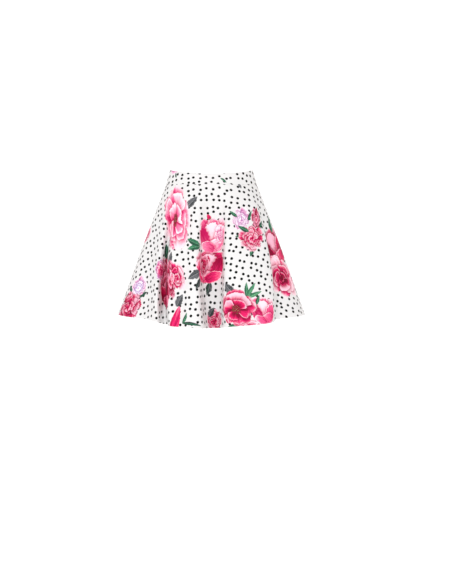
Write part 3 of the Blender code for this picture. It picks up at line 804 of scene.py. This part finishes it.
def lay_print(mesh, offset):
    """Gives each face corner its place in the flowers and leaves that lie over its face."""
    flat = np.empty(len(mesh.loops) * 2, np.float32)
    mesh.uv_layers["cut"].data.foreach_get("uv", flat)
    at_corner = flat.reshape(-1, 2).astype(float) + np.array(offset)
    for layer, _, rows in PRINT_LAYERS:
        place = np.full((len(at_corner), 3), NOWHERE)
        look = np.zeros((len(at_corner), 3))
        nearest = np.full(len(at_corner) // 4, np.inf)
        for *sizes, turned, tone, second, third, seed in rows:
            x, y, half_long, half_wide = np.array(sizes) * MILLIMETRE
            angle = math.radians(turned)
            away_x, away_y = at_corner[:, 0] - x, at_corner[:, 1] - y
            along = (away_x * math.cos(angle) + away_y * math.sin(angle)) / half_long
            over = (away_y * math.cos(angle) - away_x * math.sin(angle)) / half_wide
            reach = np.hypot(along, over).reshape(-1, 4)
            closest = reach.mean(axis=1)
            taken = (reach.min(axis=1) < MOTIF_REACH) & (closest < nearest)
            nearest[taken] = closest[taken]
            chosen = np.repeat(taken, 4)
            place[chosen] = np.stack([along, over, np.full(len(along), float(seed))], axis=1)[chosen]
            look[chosen] = (tone, second, third)
        for name, values in ((layer + "_place", place), (layer + "_look", look)):
            made = mesh.attributes.new(name, "FLOAT_VECTOR", "CORNER")
            made.data.foreach_set("vector", values.astype(np.float32).ravel())


# --- Skirt panels -----------------------------------------------------------------------------
# The front panel and the two back panels, cut flared and seamed at the sides and the centre back.
# The cloth is under a millimetre thick. The hem is turned up to the inside, so it shows the print
# there, and the cloth puckers a little beside the seams.

CLOTH = 0.0007
CLOTH_SIDES = (printed_cloth, cloth_back)
SPACING_ROUND = 0.00245
SPACING_DOWN = 0.0036
SEAM_DIP = 0.0009
SEAM_DIP_REACH = 0.0022
WAIST_DIP = 0.25  # the pressed waist seam rolls in less than the others
PANEL_LENGTH = 0.414
HEM_TURN = 0.020
HEM_TURN_ROWS = 6
HEM_STEP = 0.0008  # the turned-up edge thins out over this
HEM_LAYERS = 0.0006  # what the turned-up cloth adds on the inside
HEM_ROUND = 0.5 * (CLOTH + HEM_LAYERS)
HEM_ROUND_ROWS = (1.0, 0.55, 0.25, 0.08, 0.0)
HEM_FLAT_END = 3.0 * HEM_ROUND
THINNEST = 0.15  # share of the thickness left at the very fold
PUCKER = 0.00022
PUCKER_LENGTH = 0.012
PUCKER_REACH = 0.011
PUCKER_DRIFT, DRIFT_WAVE = 2.4, 37.0  # so that the waves aren't even
RIPPLE = 0.00016
CREASE_START, CREASE_RUN = 0.12, 0.76  # the part of a half wave that a crease deepens along
CREASES = [
    # panel, places across and up its cut, how deep, half width
    ("front", [(-0.085, -0.177), (-0.110, -0.220), (-0.128, -0.300), (-0.137, -0.376)], 0.0012, 0.0030),
    ("front", [(0.150, -0.020), (0.178, -0.075), (0.190, -0.140)], 0.0007, 0.0050),
    ("back_left", [(0.030, -0.020), (0.052, -0.110), (0.060, -0.190)], 0.0008, 0.0050),
    ("back_right", [(-0.020, -0.120), (-0.060, -0.230), (-0.078, -0.330)], 0.0009, 0.0045),
]


def outward(points):
    """Unit normals of a grid of points whose rows run round the body and columns run down it."""
    normal = np.cross(np.gradient(points, axis=0), np.gradient(points, axis=1))
    return normal / np.linalg.norm(normal, axis=2, keepdims=True)


def along_grid(points, axis):
    """Distance travelled along the rows or the columns of a grid of points."""
    steps = np.linalg.norm(np.diff(points, axis=axis), axis=2)
    shape = list(steps.shape)
    shape[axis] = 1
    return np.concatenate([np.zeros(shape), np.cumsum(steps, axis=axis)], axis=axis)


def flat_cut(points):
    """Coordinates of each point on the flat cut, a sector of a ring, with its centre line upright."""
    across = along_grid(points, 1)
    widths = across[:, -1]
    across = across - 0.5 * widths[:, None]
    below = along_grid(points, 0).mean(axis=1)
    inner = widths[0] * below[-1] / (widths[-1] - widths[0])
    radius = (inner + below)[:, None]
    angle = across / radius
    return np.stack([radius * np.sin(angle), inner - radius * np.cos(angle)], axis=2)


def measure(points):
    """A grid's normals, its flat cut, and each point's distance from its first column and row."""
    return outward(points), flat_cut(points), along_grid(points, 1), along_grid(points, 0)


def add_piece(name, data):
    """Puts a mesh, a light or a camera in the scene."""
    made = bpy.data.objects.new(name, data)
    bpy.context.scene.collection.objects.link(made)
    return made


def add_shell(name, outer, inner, maps, materials, printed_rows=0):
    """A thin closed shell from two grids of points, with the flat cut's map.

    The last rows of the inner side show the cloth's face too.
    """
    rows, columns = outer.shape[:2]
    count = rows * columns
    number = np.arange(count).reshape(rows, columns)
    corners = [number[:-1, :-1], number[1:, :-1], number[1:, 1:], number[:-1, 1:]]
    quads = np.stack(corners, axis=2).reshape(-1, 4)
    rim = np.concatenate([number[0, :-1], number[:-1, -1], number[-1, :0:-1], number[:0:-1, 0]])
    following = np.roll(rim, -1)
    walls = np.stack([rim, following, following + count, rim + count], axis=1)
    faces = np.concatenate([quads, quads[:, ::-1] + count, walls])
    mesh = bpy.data.meshes.new(name)
    mesh.from_pydata(np.concatenate([outer.reshape(-1, 3), inner.reshape(-1, 3)]), [], faces)
    for material in materials:
        mesh.materials.append(material)
    kinds = np.full(len(faces), len(materials) - 1, np.int32)
    kinds[: len(quads)] = 0
    kinds[2 * len(quads) - printed_rows * (columns - 1) : 2 * len(quads)] = 0
    mesh.polygons.foreach_set("material_index", kinds)
    mesh.shade_smooth()
    both = np.concatenate([flat.reshape(-1, 2) for flat in maps])
    cut = mesh.uv_layers.new(name="cut")
    cut.data.foreach_set("uv", both[faces.ravel()].astype(np.float32).ravel())
    mesh.update()
    return add_piece(name, mesh)


def put_on(piece, replaced=None):
    """Fixes a piece to the skirt, in place of the CAD's own where it has one."""
    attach(piece, "skirt")
    if replaced:
        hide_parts(replaced)


def put_on_sheet(piece, replaced, neighbour):
    """Fixes a cut piece of the printed cloth to the skirt, in place of the CAD's own."""
    put_on(piece, replaced)


def panel_downs():
    """Shares of the way down a panel: closer together at the waist seam and at the hem's fold."""
    edge = np.array(NEAR_EDGE)
    start = edge[-1] + SPACING_DOWN
    step_at = PANEL_LENGTH - HEM_TURN - HEM_STEP
    inside = np.linspace(start, step_at, round((step_at - start) / SPACING_DOWN) + 1)
    turned = np.linspace(PANEL_LENGTH - HEM_TURN, PANEL_LENGTH - HEM_FLAT_END, HEM_TURN_ROWS)
    fold = [PANEL_LENGTH - share * HEM_ROUND for share in HEM_ROUND_ROWS]
    turned_rows = len(turned) + len(fold) - 1
    return np.concatenate([[0.0], edge, inside, turned, fold]) / PANEL_LENGTH, turned_rows


def gripped(distance):
    """How firmly a seam holds the cloth: 1 on the seam and 0 away from it."""
    return np.exp(-((distance / SEAM_DIP_REACH) ** 2))


def dipped(across, from_waist_seam):
    """How far the cloth rolls in beside its two upright seams and its waist seam."""
    upright = SEAM_DIP * gripped(across) + SEAM_DIP * gripped(across[:, -1:] - across)
    return upright + SEAM_DIP * gripped(from_waist_seam) * WAIST_DIP


def puckered(distance, along):
    """Small waves that the stitches draw up beside a seam."""
    wave = np.sin(along * (2.0 * math.pi / PUCKER_LENGTH) + PUCKER_DRIFT * np.sin(along * DRIFT_WAVE))
    return PUCKER * wave * np.exp(-distance / PUCKER_REACH) * (1.0 - gripped(distance))


def rippled(flat):
    """The faint unevenness of cloth that hangs free."""
    x, y = flat[:, :, 0], flat[:, :, 1]
    return RIPPLE * (np.sin(x * 127.0 + 3.0 * np.sin(y * 41.0)) + np.sin(y * 93.0 - x * 58.0 + 1.7))


def creased(name, flat):
    """How far the soft creases of a panel sink in."""
    sunk = np.zeros(flat.shape[:2])
    for panel_name, places, depth, half_width in CREASES:
        if panel_name != name:
            continue
        nearest = np.full(flat.shape[:2], 1.0)
        faded = np.zeros(flat.shape[:2])
        for i, (start, end) in enumerate(zip(places, places[1:])):
            way = np.subtract(end, start)
            share = ((flat - start) @ way / (way @ way)).clip(0.0, 1.0)
            apart = np.linalg.norm(flat - start - share[:, :, None] * way, axis=2)
            travelled = (i + share) / (len(places) - 1)
            depth_here = np.sin(math.pi * (CREASE_START + CREASE_RUN * travelled))
            faded = np.where(apart < nearest, depth_here, faded)
            nearest = np.minimum(nearest, apart)
        sunk += depth * faded * np.exp(-((nearest / half_width) ** 2))
    return sunk


PANELS = [
    # name, first and last turn, where it is cut along the printed cloth
    ("front", FRONT_START, LEFT_BACK_START, 0.0),
    ("back_left", LEFT_BACK_START, CENTRE_BACK, 1.0),
    ("back_right", CENTRE_BACK, ALL_TURNS, -1.0),
]
hem_lines = {}
for name, start, end, along_cloth in PANELS:
    downs, turned_rows = panel_downs()
    surface = hang.points(hang.even_turns(start, end, SPACING_ROUND), downs)
    normals, flat, across, below = measure(surface)
    sunk = dipped(across, below)
    sunk += puckered(across, below) + puckered(across[:, -1:] - across, below)
    sunk += creased(name, flat) + rippled(flat)
    surface = surface - normals * sunk[:, :, None]
    step_row = len(downs) - turned_rows - 1
    is_turned = (np.arange(len(downs)) >= step_row)[:, None]
    layers = HEM_LAYERS * is_turned
    rounding = (1.0 - (below[-1:] - below) / HEM_ROUND).clip(0.0, 1.0)
    shown = np.sqrt(1.0 - rounding**2).clip(THINNEST, 1.0)
    half = (0.5 * (CLOTH + layers) * shown)[:, :, None]
    middle = surface - normals * (0.5 * layers)[:, :, None]
    outer, inner = middle + normals * half, middle - normals * half
    maps = (flat, np.where(is_turned[:, :, None], 2.0 * flat[-1:] - flat, flat))
    panel = add_shell("skirt_" + name + "_cloth", outer, inner, maps, CLOTH_SIDES, turned_rows)
    lay_print(panel.data, (along_cloth, 0.0))
    put_on_sheet(panel, "skirt_" + name, "waistband_" + name)
    hem_lines[name] = (inner[step_row], -normals[step_row])


# --- Waistband --------------------------------------------------------------------------------
# A shaped band of the same cloth, stiffened, seamed to the skirt and open at the centre back.
# It is cut in three pieces, like the skirt below it.

BAND_CLOTH = 0.0016
BAND_CUT_ABOVE = 0.6
BAND_SPACING = 0.0048
BAND_DOWNS = np.concatenate([np.linspace(0.0, 0.92, 12), [0.95, 0.97, 0.985, 1.0]])

for name, start, end, along_cloth in PANELS:
    surface = band_points(hang.angles(hang.even_turns(start, end, BAND_SPACING)), BAND_DOWNS)
    normals, flat, across, below = measure(surface)
    surface = surface - normals * dipped(across, below[-1:] - below)[:, :, None]
    half = 0.5 * BAND_CLOTH
    outer, inner = surface + normals * half, surface - normals * half
    band = add_shell("waistband_" + name + "_cloth", outer, inner, (flat, flat), CLOTH_SIDES)
    lay_print(band.data, (along_cloth, BAND_CUT_ABOVE))
    put_on_sheet(band, "waistband_" + name, "skirt_" + name)


# --- Seams and hem stitches -------------------------------------------------------------------
# The side seams and the centre back seam are pressed open: each panel's edge folds back on itself
# and shows its print. Polyester thread whips the cut edges and catches the hem's turned edge.

ALLOWANCE_FACES = (0.0005, 0.0010)  # below the middle of the cloth
ALLOWANCE_FOOT = 0.945  # share of the way down, where it goes under the turned-up hem
ALLOWANCE_DOWNS = np.linspace(0.0, ALLOWANCE_FOOT, 70)
ALLOWANCE_EDGES = (0.0006, 0.0100)  # from the seam
ALLOWANCE_ACROSS = np.linspace(*ALLOWANCE_EDGES, 5)
STEPS_BESIDE_SEAM = 240
STITCH_LIFT = 0.0001
SEAMS = [
    # name, panel beside it, way round from the seam, turn of the seam
    ("left_side_seam", "front", -1.0, LEFT_BACK_START),
    ("left_side_seam", "back_left", 1.0, LEFT_BACK_START),
    ("centre_back_seam", "back_left", -1.0, CENTRE_BACK),
    ("centre_back_seam", "back_right", 1.0, CENTRE_BACK),
    ("right_side_seam", "back_right", -1.0, ALL_TURNS),
    ("right_side_seam", "front", 1.0, FRONT_START),
]


def beside_seam(seam, way, downs, distances):
    """Points of the cloth's middle beside a seam, one way round. Negative downs are on the band."""
    turns = seam + way * np.linspace(0.0, 1.0, STEPS_BESIDE_SEAM)
    on_band = [1.0 + down for down in downs if down < 0.0]
    on_skirt = [down for down in downs if down >= 0.0]
    rows = np.concatenate([band_points(hang.angles(turns), on_band), hang.points(turns, on_skirt)])
    grid = np.empty((len(rows), len(distances), 3))
    for i, (row, travelled) in enumerate(zip(rows, along_grid(rows, 1))):
        for axis in range(3):
            grid[i, :, axis] = np.interp(distances, travelled, row[:, axis])
    return grid if way > 0 else grid[:, ::-1]


def add_strip(name, seam, way, downs, distances, faces, map_way, material):
    """A strip of cloth behind the seam, its two faces at depths below the middle of the skirt's.

    Gives the strip, and the points and the normals of its inner face.
    """
    grid = beside_seam(seam, way, downs, distances)
    normals = outward(grid)
    below = along_grid(grid, 0)
    flat = np.stack([np.broadcast_to(distances * map_way, below.shape), -below], axis=2)
    outer, inner = grid - normals * faces[0], grid - normals * faces[1]
    strip = add_shell(name, outer, inner, (flat, flat), (material, material))
    return strip, inner, normals


def new_tree(name, sizes):
    """A geometry tree whose inputs are a path, sizes and a material."""
    tree = bpy.data.node_groups.new(name, "GeometryNodeTree")
    kinds = [("Path", "Geometry"), *[(size, "Float") for size in sizes], ("Material", "Material")]
    for label, kind in kinds:
        tree.interface.new_socket(name=label, in_out="INPUT", socket_type="NodeSocket" + kind)
    tree.interface.new_socket(name="Geometry", in_out="OUTPUT", socket_type="NodeSocketGeometry")
    given = tree.nodes.new("NodeGroupInput").outputs
    return tree, given["Path"], given["Material"], [Value(given[size]) for size in sizes]


def laid_along(tree, path, spacing, thing):
    """Copies of a thing evenly spaced on a path: x along the path, z out of the cloth."""
    curve = add_node(tree, "GeometryNodeMeshToCurve", Mesh=path)
    points = add_node(tree, "GeometryNodeCurveToPoints", mode="LENGTH", Curve=curve, Length=spacing)
    out = add_node(tree, "GeometryNodeInputNamedAttribute", data_type="FLOAT_VECTOR", Name="out")
    facing = add_node(tree, "FunctionNodeAxesToRotation", primary_axis="Z", secondary_axis="X")
    feed(facing.inputs[0], out)
    feed(facing.inputs[1], points.outputs["Tangent"])
    laid = add_node(tree, "GeometryNodeInstanceOnPoints", Points=points, Instance=thing)
    return set_up(laid, Rotation=facing)


def finish_tree(tree, instances, material):
    """Ends a tree: instances made real, smooth and of one material."""
    real = add_node(tree, "GeometryNodeRealizeInstances", Geometry=instances)
    smooth = add_node(tree, "GeometryNodeSetShadeSmooth", Geometry=real)
    coated = add_node(tree, "GeometryNodeSetMaterial", Geometry=smooth, Material=material)
    add_node(tree, "NodeGroupOutput", Geometry=coated)
    return tree


def stitch_tree():
    """Slanted stitches along a path."""
    sizes = ("Spacing", "Length", "Thickness", "Slant")
    tree, path, material, (spacing, length, thickness, slant) = new_tree("stitches", sizes)
    bead = add_node(tree, "GeometryNodeMeshUVSphere", Segments=6, Rings=5, Radius=0.5)
    stitch = add_node(tree, "GeometryNodeTransform", Geometry=bead)
    set_up(stitch, Rotation=vector_of(0.0, 0.0, slant), Scale=vector_of(length, thickness, thickness))
    return finish_tree(tree, laid_along(tree, path, spacing, stitch), material)


def grow(name, tree, path, out, inputs):
    """The plain mesh that a tree makes along a path of points, each with its way out of the cloth."""
    line = bpy.data.meshes.new(name + " path")
    line.from_pydata([tuple(point) for point in path], [(i, i + 1) for i in range(len(path) - 1)], [])
    ways = line.attributes.new("out", "FLOAT_VECTOR", "POINT")
    ways.data.foreach_set("vector", np.asarray(out, np.float32).ravel())
    made = add_piece(name, line)
    modifier = made.modifiers.new(name, "NODES")
    modifier.node_group = tree
    for socket in tree.interface.items_tree:
        if socket.in_out == "INPUT" and socket.name in inputs:
            modifier[socket.identifier] = inputs[socket.name]
    graph = bpy.context.evaluated_depsgraph_get()
    grown = bpy.data.meshes.new_from_object(made.evaluated_get(graph))
    made.modifiers.remove(modifier)
    made.data = grown
    return made


def own_place(material):
    """A piece's own coordinates, in metres."""
    return material.node_tree.nodes.new("ShaderNodeTexCoord").outputs["Object"]


def thread_material():
    """White polyester thread, twisted."""
    made, shader = new_finish("sewing thread", Base_Color="efecec", Roughness=0.45)
    twist = add_node(made.node_tree, "ShaderNodeTexWave", bands_direction="DIAGONAL", Scale=900.0)
    set_up(twist, Vector=own_place(made))
    raise_surface(shader, twist.outputs["Fac"], 1.0, 0.00005)
    return made


thread = thread_material()
STITCHES = stitch_tree()
HEM_STITCHES = {"Spacing": 0.0070, "Length": 0.0032, "Thickness": 0.00036, "Slant": 0.75, "Material": thread}
EDGE_STITCHES = {"Spacing": 0.0021, "Length": 0.0036, "Thickness": 0.00034, "Slant": 1.2, "Material": thread}

for name, (line, ways) in hem_lines.items():
    stitches = grow("hem_stitches_" + name, STITCHES, line + ways * STITCH_LIFT, ways, HEM_STITCHES)
    put_on(stitches)

for name, panel_name, way, seam in SEAMS:
    label = name + "_allowance_" + panel_name
    where = (seam, way, ALLOWANCE_DOWNS, ALLOWANCE_ACROSS)
    strip, inner, normals = add_strip(label, *where, ALLOWANCE_FACES, way, printed_cloth)
    lay_print(strip.data, (NOWHERE, 0.0))
    put_on(strip)
    edge = 0 if way < 0.0 else -1
    whipped = grow(label + "_edge", STITCHES, inner[:, edge], -normals[:, edge], EDGE_STITCHES)
    put_on(whipped)


# --- Zip --------------------------------------------------------------------------------------
# A concealed nylon coil zip behind the centre back seam: two woven tapes, a coil of white nylon
# wire whose turns hook into each other, and a slider and pull cast in zinc and painted white.

BAND_CLOTH_IN_FRAME = 0.0026
LAYER_GAP = 0.0003
ZIP_FOOT = 0.36
ZIP_TOP_BELOW_EDGE = 0.004
SKIPPED_BEND = (-0.05, 0.03)  # no row of the zip lies on the bend at the waist seam
ROWS_ON_SKIRT = 46
TAPE_FACE = 0.5 * BAND_CLOTH_IN_FRAME + LAYER_GAP
TAPE_CLOTH = 0.0007
TAPE_FACES = (TAPE_FACE, TAPE_FACE + TAPE_CLOTH)
TAPE_INNER_EDGE = 0.0009
TAPE_WIDTH = 0.0110
TAPE_ACROSS = np.linspace(TAPE_INNER_EDGE, TAPE_INNER_EDGE + TAPE_WIDTH, 7)
COIL_ACROSS = np.linspace(0.0, 0.004, 3)
COIL_THICKNESS = 0.0016
COIL_MIDDLE = TAPE_FACE + TAPE_CLOTH + LAYER_GAP + 0.5 * COIL_THICKNESS
WIRE = 0.00044
COIL_TURN = 0.00066
COIL_REACH = 0.0020
COIL_HOOK = 0.0004  # each turn reaches this far past the middle
BAND_HEIGHT = SEAM_HEIGHT["back"] - WAIST_HEIGHT["back"]


def zip_downs(top, rows_on_band):
    """Rows of the zip from its top to its foot."""
    above, below = SKIPPED_BEND
    on_band = np.linspace(top, above, rows_on_band)
    return np.concatenate([on_band, np.linspace(below, ZIP_FOOT, ROWS_ON_SKIRT)])


def woven_tape():
    """White polyester tape with a fine herringbone rib."""
    made, shader = new_finish("zip tape", Roughness=0.75)
    flat = cloth_map(made.node_tree)
    x, y, _ = parts_of(flat)
    zigzag = (x * 900.0).math("PINGPONG", 1.0)
    ribs = ((y * 5200.0) + zigzag * 5.0).math("SINE")
    worn = grain(flat, 160.0, 3.0)
    set_up(shader, Base_Color=inks(ribs * 0.2 + worn * 0.7, ("d9d5d4", "ece9e8", "f7f5f5")))
    raise_surface(shader, ribs, 0.5, 0.00012)
    return made


def nylon_wire():
    """Slightly clear white nylon, a little cloudy."""
    made, shader = new_finish("zip coil wire", Subsurface_Weight=0.15)
    cloudy = grain(own_place(made), 900.0, 3.0)
    set_up(shader, Subsurface_Radius=(0.001, 0.001, 0.001), Roughness=cloudy * 0.25 + 0.18)
    set_up(shader, Base_Color=inks(cloudy, ("dfdcda", "f1efee")))
    return made


def painted_zinc():
    """White enamel on zinc: smooth, a little uneven, and worn to the metal in specks."""
    made, shader = new_finish("white painted zinc", Coat_Weight=0.5, Coat_Roughness=0.12)
    where = own_place(made)
    orange_peel = grain(where, 1400.0, 2.0)
    bare = grain(where, 700.0, 4.0, 0.7).soft_step(0.70, 0.76)
    set_up(shader, Base_Color=blend(bare, "eceaea", "a9a6a3"), Metallic=bare)
    set_up(shader, Roughness=orange_peel * 0.2 + 0.22)
    raise_surface(shader, orange_peel - bare, 0.25, 0.00004)
    return made


def coil_tree():
    """Turns of wire along a path, hooked into each other from both sides by turns."""
    sizes = ("Spacing", "Reach", "Hook", "Depth", "Wire")
    tree, path, material, (spacing, reach, hook, depth, wire) = new_tree("zip coil", sizes)
    ring = add_node(tree, "GeometryNodeCurvePrimitiveCircle", Resolution=12, Radius=1.0)
    size = vector_of((depth - wire) * 0.5, (reach + hook - wire) * 0.5, 1.0)
    upright = add_node(tree, "ShaderNodeCombineXYZ", Y=0.5 * math.pi)
    turned = add_node(tree, "GeometryNodeTransform", Geometry=ring, Scale=size, Rotation=upright)
    section = add_node(tree, "GeometryNodeCurvePrimitiveCircle", Resolution=6, Radius=wire * 0.5)
    loop = add_node(tree, "GeometryNodeCurveToMesh", Curve=turned, Profile_Curve=section)
    laid = laid_along(tree, path, spacing, loop)
    odd = Value(tree.nodes.new("GeometryNodeInputIndex").outputs[0]).math("FLOORED_MODULO", 2.0)
    shift = (reach - hook) * 0.5 * (odd * 2.0 - 1.0)
    moved = add_node(tree, "GeometryNodeTranslateInstances", Instances=laid, Local_Space=True)
    set_up(moved, Translation=vector_of(0.0, shift, 0.0))
    return finish_tree(tree, moved, material)


tape_material = woven_tape()
tape_downs = zip_downs(-1.0 - ZIP_TOP_BELOW_EDGE / BAND_HEIGHT, 14)
for side, way in (("left", -1.0), ("right", 1.0)):
    label = "zip_tape_" + side
    where = (CENTRE_BACK, way, tape_downs, TAPE_ACROSS)
    tape, inner, normals = add_strip(label + "_woven", *where, TAPE_FACES, 1.0, tape_material)
    put_on(tape, label)
    edge = 1 if way < 0.0 else -2
    path, out = inner[:, edge], -normals[:, edge]
    sewn = grow("zip_tape_stitches_" + side, STITCHES, path, out, {**EDGE_STITCHES, "Slant": 0.0})
    put_on(sewn)

coil_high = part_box("zip_coil")[1]
coil_top = -(SEAM_HEIGHT["back"] - coil_high[2]) / BAND_HEIGHT
grid = beside_seam(CENTRE_BACK, 1.0, zip_downs(coil_top, 12), COIL_ACROSS)
normals = outward(grid)
coil_inputs = {
    "Spacing": COIL_TURN,
    "Reach": COIL_REACH,
    "Hook": COIL_HOOK,
    "Depth": COIL_THICKNESS,
    "Wire": WIRE,
    "Material": nylon_wire(),
}
path = (grid - normals * COIL_MIDDLE)[:, 0]
coil = grow("zip_coil_wire", coil_tree(), path, normals[:, 0], coil_inputs)
put_on(coil, "zip_coil")

zinc = painted_zinc()
for metal_piece in ("zip_slider", "zip_pull"):
    for material_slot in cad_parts[metal_piece].material_slots:
        material_slot.material = zinc


# --- Studio -----------------------------------------------------------------------------------
# A white sweep of paper under and behind the skirt. A soft light stands beside the camera and a
# weaker one behind and above the skirt, in an even white surround.

FLOOR_HEIGHT = -1.13
SWEEP_FRONT, SWEEP_BACK, SWEEP_TOP = -6.0, 2.6, 4.5
SWEEP_HALF_WIDTH = 6.0
SWEEP_ROUND = 0.9
ROUND_STEPS = 16
LIT_POINT = (0.0, 0.0, -0.25)

profile = [(SWEEP_FRONT, 0.0), (SWEEP_BACK - SWEEP_ROUND, 0.0)]
for i in range(1, ROUND_STEPS + 1):
    angle = 0.5 * math.pi * i / ROUND_STEPS
    back = SWEEP_BACK - SWEEP_ROUND * (1.0 - math.sin(angle))
    profile.append((back, SWEEP_ROUND * (1.0 - math.cos(angle))))
profile.append((SWEEP_BACK, SWEEP_TOP))
sweep_mesh = bpy.data.meshes.new("paper_sweep")
points = [(side, y, FLOOR_HEIGHT + z) for y, z in profile for side in (-SWEEP_HALF_WIDTH, SWEEP_HALF_WIDTH)]
quads = [(2 * i, 2 * i + 1, 2 * i + 3, 2 * i + 2) for i in range(len(profile) - 1)]
sweep_mesh.from_pydata(points, [], quads)
sweep_mesh.shade_smooth()
paper, _ = new_finish("white paper", Base_Color="ffffff", Roughness=0.9, Specular_IOR_Level=0.1)
sweep_mesh.materials.append(paper)
add_piece("paper_sweep", sweep_mesh)


def add_soft_light(name, place, size, watts, colour):
    """A square soft light that looks at the skirt."""
    lamp = bpy.data.lights.new(name, "AREA")
    lamp.shape = "SQUARE"
    lamp.size = size
    lamp.energy = watts
    lamp.color = colour
    made = add_piece(name, lamp)
    made.location = place
    way = Vector(LIT_POINT) - Vector(place)
    made.rotation_euler = way.to_track_quat("-Z", "Y").to_euler()


add_soft_light("key light", (-0.7, -3.6, 0.5), 0.9, 40.0, (0.92, 0.97, 1.0))
add_soft_light("back light", (0.4, 2.0, 1.9), 1.0, 14.0, (1.0, 1.0, 1.0))
world = bpy.data.worlds.new("white surround")
bpy.context.scene.world = world
world.use_nodes = True
set_up(world.node_tree.nodes["Background"], Color=(1.0, 0.985, 0.972, 1.0), Strength=1.035)
bpy.context.scene.view_settings.view_transform = "Standard"


# --- Camera -----------------------------------------------------------------------------------
# Level, straight in front, four metres away, at the height of the thighs. The lens is long enough
# for a metre at the middle of the skirt to take 340 pixels.

FRAME_HEIGHT = 584
PIXELS_PER_METRE = 340.0
CAMERA_PLACE = (0.04265, -4.0, -0.3588)
SENSOR = 24.0
camera_data = bpy.data.cameras.new("camera")
camera_data.sensor_fit = "VERTICAL"
camera_data.sensor_height = SENSOR
camera_data.lens = SENSOR * -CAMERA_PLACE[1] / (FRAME_HEIGHT / PIXELS_PER_METRE)
camera = add_piece("camera", camera_data)
camera.location = CAMERA_PLACE
camera.rotation_euler = (0.5 * math.pi, 0.0, 0.0)
bpy.context.scene.camera = camera
